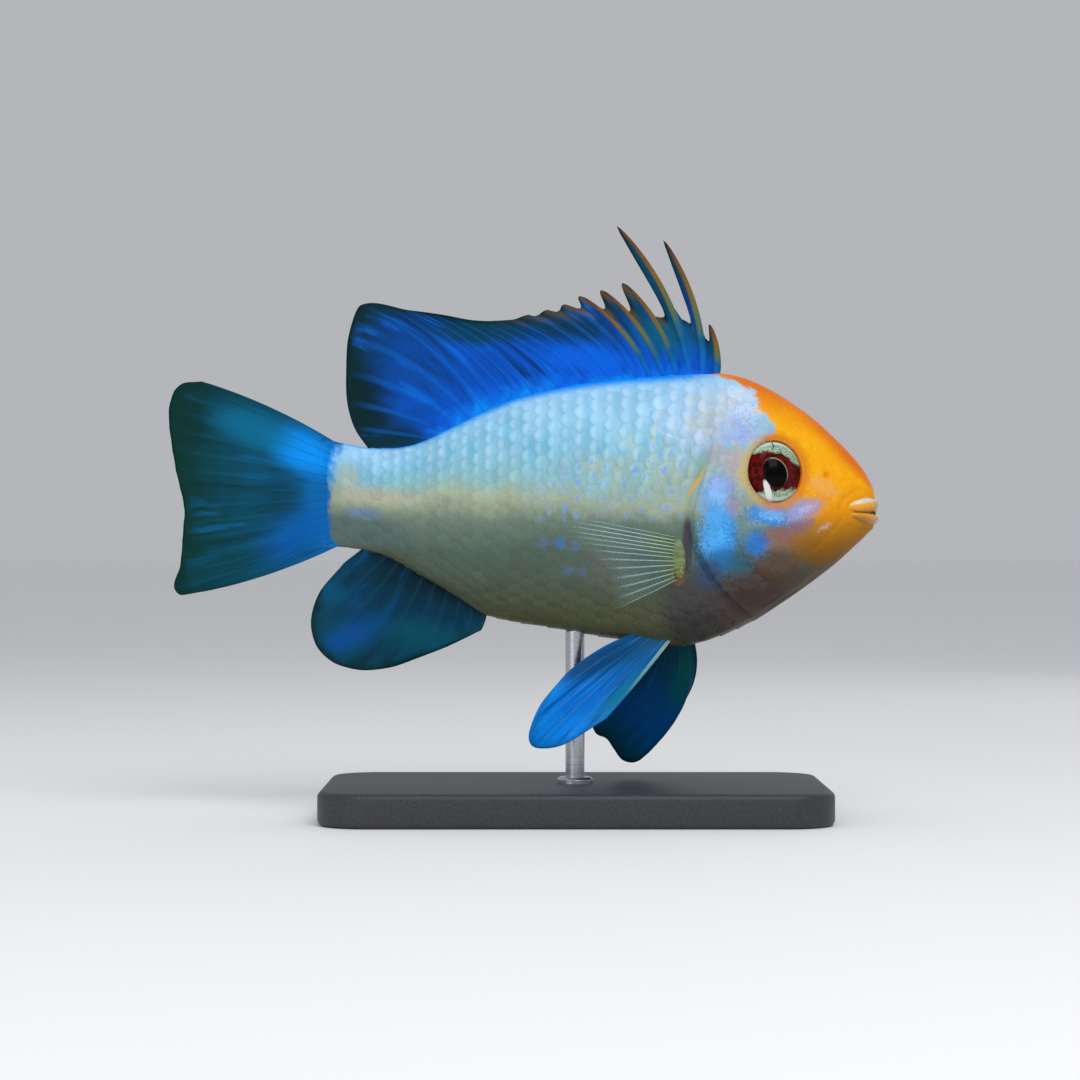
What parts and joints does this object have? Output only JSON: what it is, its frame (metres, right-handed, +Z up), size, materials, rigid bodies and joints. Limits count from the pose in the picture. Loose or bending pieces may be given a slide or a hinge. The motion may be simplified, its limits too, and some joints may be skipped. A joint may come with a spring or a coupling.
{
  "type": "electric blue ram",
  "caption": "Still life-size model of an electric blue ram, a small deep-bodied cichlid with an orange head, swimming above a flat display stand.",
  "frame": {"origin": "centre of the bounding box at floor level, under the fish", "axes": "+X from the tail to the snout, +Y to the fish's left, +Z up"},
  "size_m": [0.0602, 0.024, 0.0497],
  "materials": {
    "head_skin": "orange skin with a wet sheen",
    "body_skin": "pale blue scaled skin with a wet sheen",
    "eye": "dark red iris round a black pupil, under a clear cornea",
    "fin": "blue to teal fin membrane over rays",
    "clear_fin": "nearly clear fin membrane over pale rays",
    "stand_base": "satin dark grey",
    "stand_rod": "fine brushed steel"
  },
  "bodies": {
    "root": {"head": "head_skin", "torso": "body_skin", "tail_stem": "body_skin", "eye_left": "eye", "eye_right": "eye", "fin_dorsal_front": "fin", "fin_dorsal_rear": "fin", "fin_anal": "fin", "fin_tail": "fin", "fin_pelvic_left": "fin", "fin_pelvic_right": "fin", "fin_pectoral_left": "clear_fin", "fin_pectoral_right": "clear_fin", "stand_base": "stand_base", "stand_rod": "stand_rod"}
  },
  "joints": []
}
